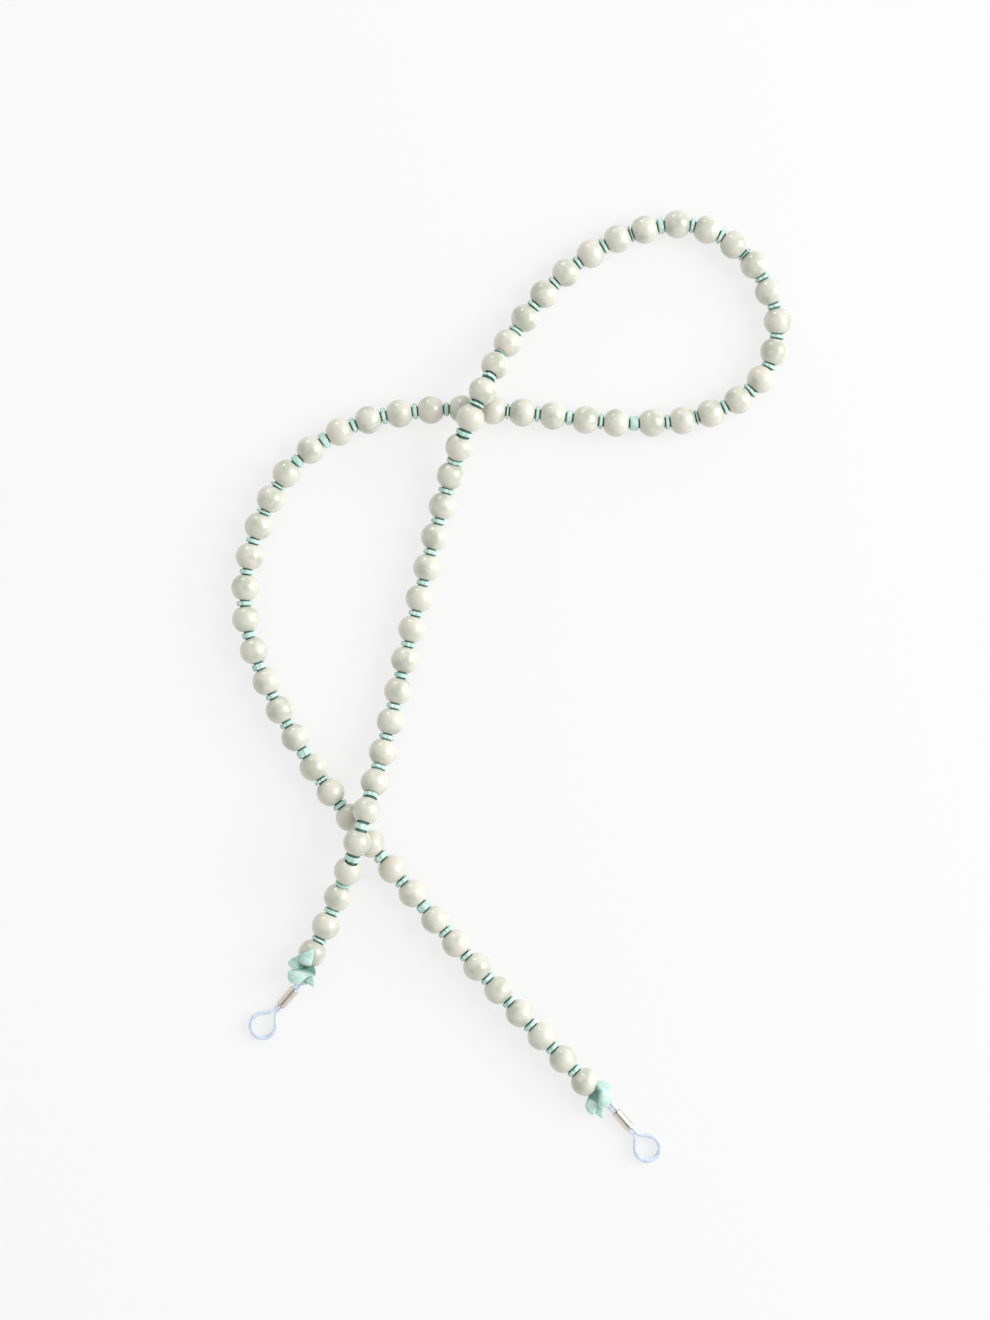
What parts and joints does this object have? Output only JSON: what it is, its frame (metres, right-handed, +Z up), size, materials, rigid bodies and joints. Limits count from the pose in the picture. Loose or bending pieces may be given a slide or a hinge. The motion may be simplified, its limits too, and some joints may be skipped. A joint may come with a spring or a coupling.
{
  "type": "eyeglass retainer strap",
  "caption": "Beaded eyeglass retainer strap: round wooden beads on a woven ribbon, knotted to silicone temple loops with sliding metal tubes.",
  "frame": {"origin": "middle of the laid strap's bounding box, on the surface that it lies on", "axes": "+Y along the strap's longest extent, towards its far turn; +Z up from the surface"},
  "size_m": [0.1594, 0.2713, 0.0153],
  "materials": {
    "bead_wood": "turned wood under a thick pale sage lacquer, glossy",
    "ribbon": "mint woven ribbon with fine lengthwise ribs, soft sheen",
    "silicone": "clear milky moulded silicone",
    "slider_metal": "bright nickel-plated thin tube"
  },
  "bodies": {
    "strap": {"beads_06_07": "bead_wood", "beads_08_09": "bead_wood", "beads_10_11": "bead_wood", "beads_12_13": "bead_wood", "beads_14_15": "bead_wood", "beads_16_17": "bead_wood", "beads_21_22": "bead_wood", "beads_23_24": "bead_wood", "beads_25_26": "bead_wood", "beads_27_28": "bead_wood", "beads_29_30": "bead_wood", "beads_31_32": "bead_wood", "beads_33_34": "bead_wood", "beads_35_36": "bead_wood", "beads_37_38": "bead_wood", "beads_39_40": "bead_wood", "beads_41_42": "bead_wood", "beads_43_44": "bead_wood", "beads_48_49": "bead_wood", "beads_50_51": "bead_wood", "beads_52_53": "bead_wood", "beads_54_55": "bead_wood", "beads_56_57": "bead_wood", "beads_58_59": "bead_wood", "beads_60_61": "bead_wood", "beads_62_63": "bead_wood", "ribbon_main": "ribbon"},
    "tail_a": {"ribbon_tail_a": "ribbon", "knot_a": "ribbon"},
    "tail_b_upper": {"ribbon_tail_b_upper": "ribbon"},
    "tail_b_lower": {"ribbon_tail_b_lower": "ribbon", "knot_b": "ribbon"},
    "loop_a": {"temple_loop_a": "silicone"},
    "loop_b": {"temple_loop_b": "silicone"},
    "slider_a": {"slider_a": "slider_metal"},
    "slider_b": {"slider_b": "slider_metal"},
    "bead_01": {"bead_01": "bead_wood"},
    "bead_02": {"bead_02": "bead_wood"},
    "bead_03": {"bead_03": "bead_wood"},
    "bead_04": {"bead_04": "bead_wood"},
    "bead_05": {"bead_05": "bead_wood"},
    "bead_18": {"bead_18": "bead_wood"},
    "bead_19": {"bead_19": "bead_wood"},
    "bead_20": {"bead_20": "bead_wood"},
    "bead_45": {"bead_45": "bead_wood"},
    "bead_46": {"bead_46": "bead_wood"},
    "bead_47": {"bead_47": "bead_wood"},
    "bead_64": {"bead_64": "bead_wood"},
    "bead_65": {"bead_65": "bead_wood"},
    "bead_66": {"bead_66": "bead_wood"},
    "bead_67": {"bead_67": "bead_wood"},
    "bead_68": {"bead_68": "bead_wood"},
    "bead_69": {"bead_69": "bead_wood"},
    "bead_70": {"bead_70": "bead_wood"},
    "bead_71": {"bead_71": "bead_wood"},
    "bead_72": {"bead_72": "bead_wood"},
    "bead_73": {"bead_73": "bead_wood"},
    "bead_74": {"bead_74": "bead_wood"},
    "bead_75": {"bead_75": "bead_wood"}
  },
  "joints": [
    {"name": "tail_a_bend", "type": "hinge", "parent": "strap", "child": "tail_a", "pos_m": [-0.04483, -0.04808, 0.01018], "axis": [0, 0, 1], "range_deg": [-30, 30]},
    {"name": "tail_b_upper_bend", "type": "hinge", "parent": "strap", "child": "tail_b_upper", "pos_m": [-0.03688, -0.04816, 0.004], "axis": [0, 0, 1], "range_deg": [-30, 30]},
    {"name": "tail_b_lower_bend", "type": "hinge", "parent": "tail_b_upper", "child": "tail_b_lower", "pos_m": [-0.00672, -0.08288, 0.004], "axis": [0, 0, 1], "range_deg": [-30, 30]},
    {"name": "loop_a_swivel", "type": "hinge", "parent": "tail_a", "child": "loop_a", "pos_m": [-0.0586, -0.0826, 0.0015], "axis": [0, 0, 1], "range_deg": [-30, 30]},
    {"name": "slider_a_slide", "type": "slide", "parent": "loop_a", "child": "slider_a", "axis": [-0.6561, -0.7547, 0], "range_m": [-0.001, 0.0025]},
    {"name": "loop_b_swivel", "type": "hinge", "parent": "tail_b_lower", "child": "loop_b", "pos_m": [0.0268, -0.1176, 0.0015], "axis": [0, 0, 1], "range_deg": [-30, 30]},
    {"name": "slider_b_slide", "type": "slide", "parent": "loop_b", "child": "slider_b", "axis": [0.6561, -0.7547, 0], "range_m": [-0.001, 0.0025]},
    {"name": "bead_01_spin", "type": "hinge", "parent": "tail_a", "child": "bead_01", "pos_m": [-0.05657, -0.07563, 0.004], "axis": [0.4856, 0.8742, 0], "continuous": true},
    {"name": "bead_02_spin", "type": "hinge", "parent": "tail_a", "child": "bead_02", "pos_m": [-0.05272, -0.06795, 0.00405], "axis": [0.4036, 0.9149, 0.0122], "continuous": true},
    {"name": "bead_03_spin", "type": "hinge", "parent": "tail_a", "child": "bead_03", "pos_m": [-0.04924, -0.05968, 0.00454], "axis": [0.3709, 0.9061, 0.2036], "continuous": true},
    {"name": "bead_04_spin", "type": "hinge", "parent": "tail_a", "child": "bead_04", "pos_m": [-0.04625, -0.05207, 0.00817], "axis": [0.3014, 0.7989, 0.5204], "continuous": true},
    {"name": "bead_05_spin", "type": "hinge", "parent": "strap", "child": "bead_05", "pos_m": [-0.04344, -0.04374, 0.01129], "axis": [0.2867, 0.9487, 0.1333], "continuous": true},
    {"name": "bead_18_spin", "type": "hinge", "parent": "strap", "child": "bead_18", "pos_m": [-0.0147, 0.06794, 0.00859], "axis": [0.2849, 0.8395, 0.4627], "continuous": true},
    {"name": "bead_19_spin", "type": "hinge", "parent": "strap", "child": "bead_19", "pos_m": [-0.01159, 0.07591, 0.01117], "axis": [0.3977, 0.9116, 0.104], "continuous": true},
    {"name": "bead_20_spin", "type": "hinge", "parent": "strap", "child": "bead_20", "pos_m": [-0.00806, 0.08362, 0.01093], "axis": [0.4161, 0.8933, -0.17], "continuous": true},
    {"name": "bead_45_spin", "type": "hinge", "parent": "strap", "child": "bead_45", "pos_m": [-0.00518, 0.07864, 0.004], "axis": [-0.9982, 0.0593, 0], "continuous": true},
    {"name": "bead_46_spin", "type": "hinge", "parent": "strap", "child": "bead_46", "pos_m": [-0.01393, 0.07904, 0.004], "axis": [-0.9999, 0.0127, 0], "continuous": true},
    {"name": "bead_47_spin", "type": "hinge", "parent": "strap", "child": "bead_47", "pos_m": [-0.02289, 0.07878, 0.004], "axis": [-0.9975, -0.0707, 0], "continuous": true},
    {"name": "bead_64_spin", "type": "hinge", "parent": "strap", "child": "bead_64", "pos_m": [-0.04591, -0.03706, 0.004], "axis": [0.6268, -0.7792, 0], "continuous": true},
    {"name": "bead_65_spin", "type": "hinge", "parent": "strap", "child": "bead_65", "pos_m": [-0.03989, -0.0445, 0.004], "axis": [0.6328, -0.7743, 0], "continuous": true},
    {"name": "bead_66_spin", "type": "hinge", "parent": "tail_b_upper", "child": "bead_66", "pos_m": [-0.03386, -0.0518, 0.004], "axis": [0.6418, -0.7669, 0], "continuous": true},
    {"name": "bead_67_spin", "type": "hinge", "parent": "tail_b_upper", "child": "bead_67", "pos_m": [-0.02806, -0.05865, 0.004], "axis": [0.6503, -0.7597, 0], "continuous": true},
    {"name": "bead_68_spin", "type": "hinge", "parent": "tail_b_upper", "child": "bead_68", "pos_m": [-0.02163, -0.06613, 0.004], "axis": [0.6523, -0.7579, 0], "continuous": true},
    {"name": "bead_69_spin", "type": "hinge", "parent": "tail_b_upper", "child": "bead_69", "pos_m": [-0.01573, -0.07289, 0.004], "axis": [0.6623, -0.7493, 0], "continuous": true},
    {"name": "bead_70_spin", "type": "hinge", "parent": "tail_b_upper", "child": "bead_70", "pos_m": [-0.00975, -0.07957, 0.004], "axis": [0.6721, -0.7405, 0], "continuous": true},
    {"name": "bead_71_spin", "type": "hinge", "parent": "tail_b_lower", "child": "bead_71", "pos_m": [-0.00368, -0.08618, 0.004], "axis": [0.6786, -0.7345, 0], "continuous": true},
    {"name": "bead_72_spin", "type": "hinge", "parent": "tail_b_lower", "child": "bead_72", "pos_m": [0.00243, -0.09275, 0.004], "axis": [0.6832, -0.7302, 0], "continuous": true},
    {"name": "bead_73_spin", "type": "hinge", "parent": "tail_b_lower", "child": "bead_73", "pos_m": [0.00858, -0.09928, 0.004], "axis": [0.6878, -0.7259, 0], "continuous": true},
    {"name": "bead_74_spin", "type": "hinge", "parent": "tail_b_lower", "child": "bead_74", "pos_m": [0.01476, -0.10578, 0.004], "axis": [0.6905, -0.7234, 0], "continuous": true},
    {"name": "bead_75_spin", "type": "hinge", "parent": "tail_b_lower", "child": "bead_75", "pos_m": [0.02096, -0.11226, 0.004], "axis": [0.6905, -0.7234, 0], "continuous": true}
  ]
}
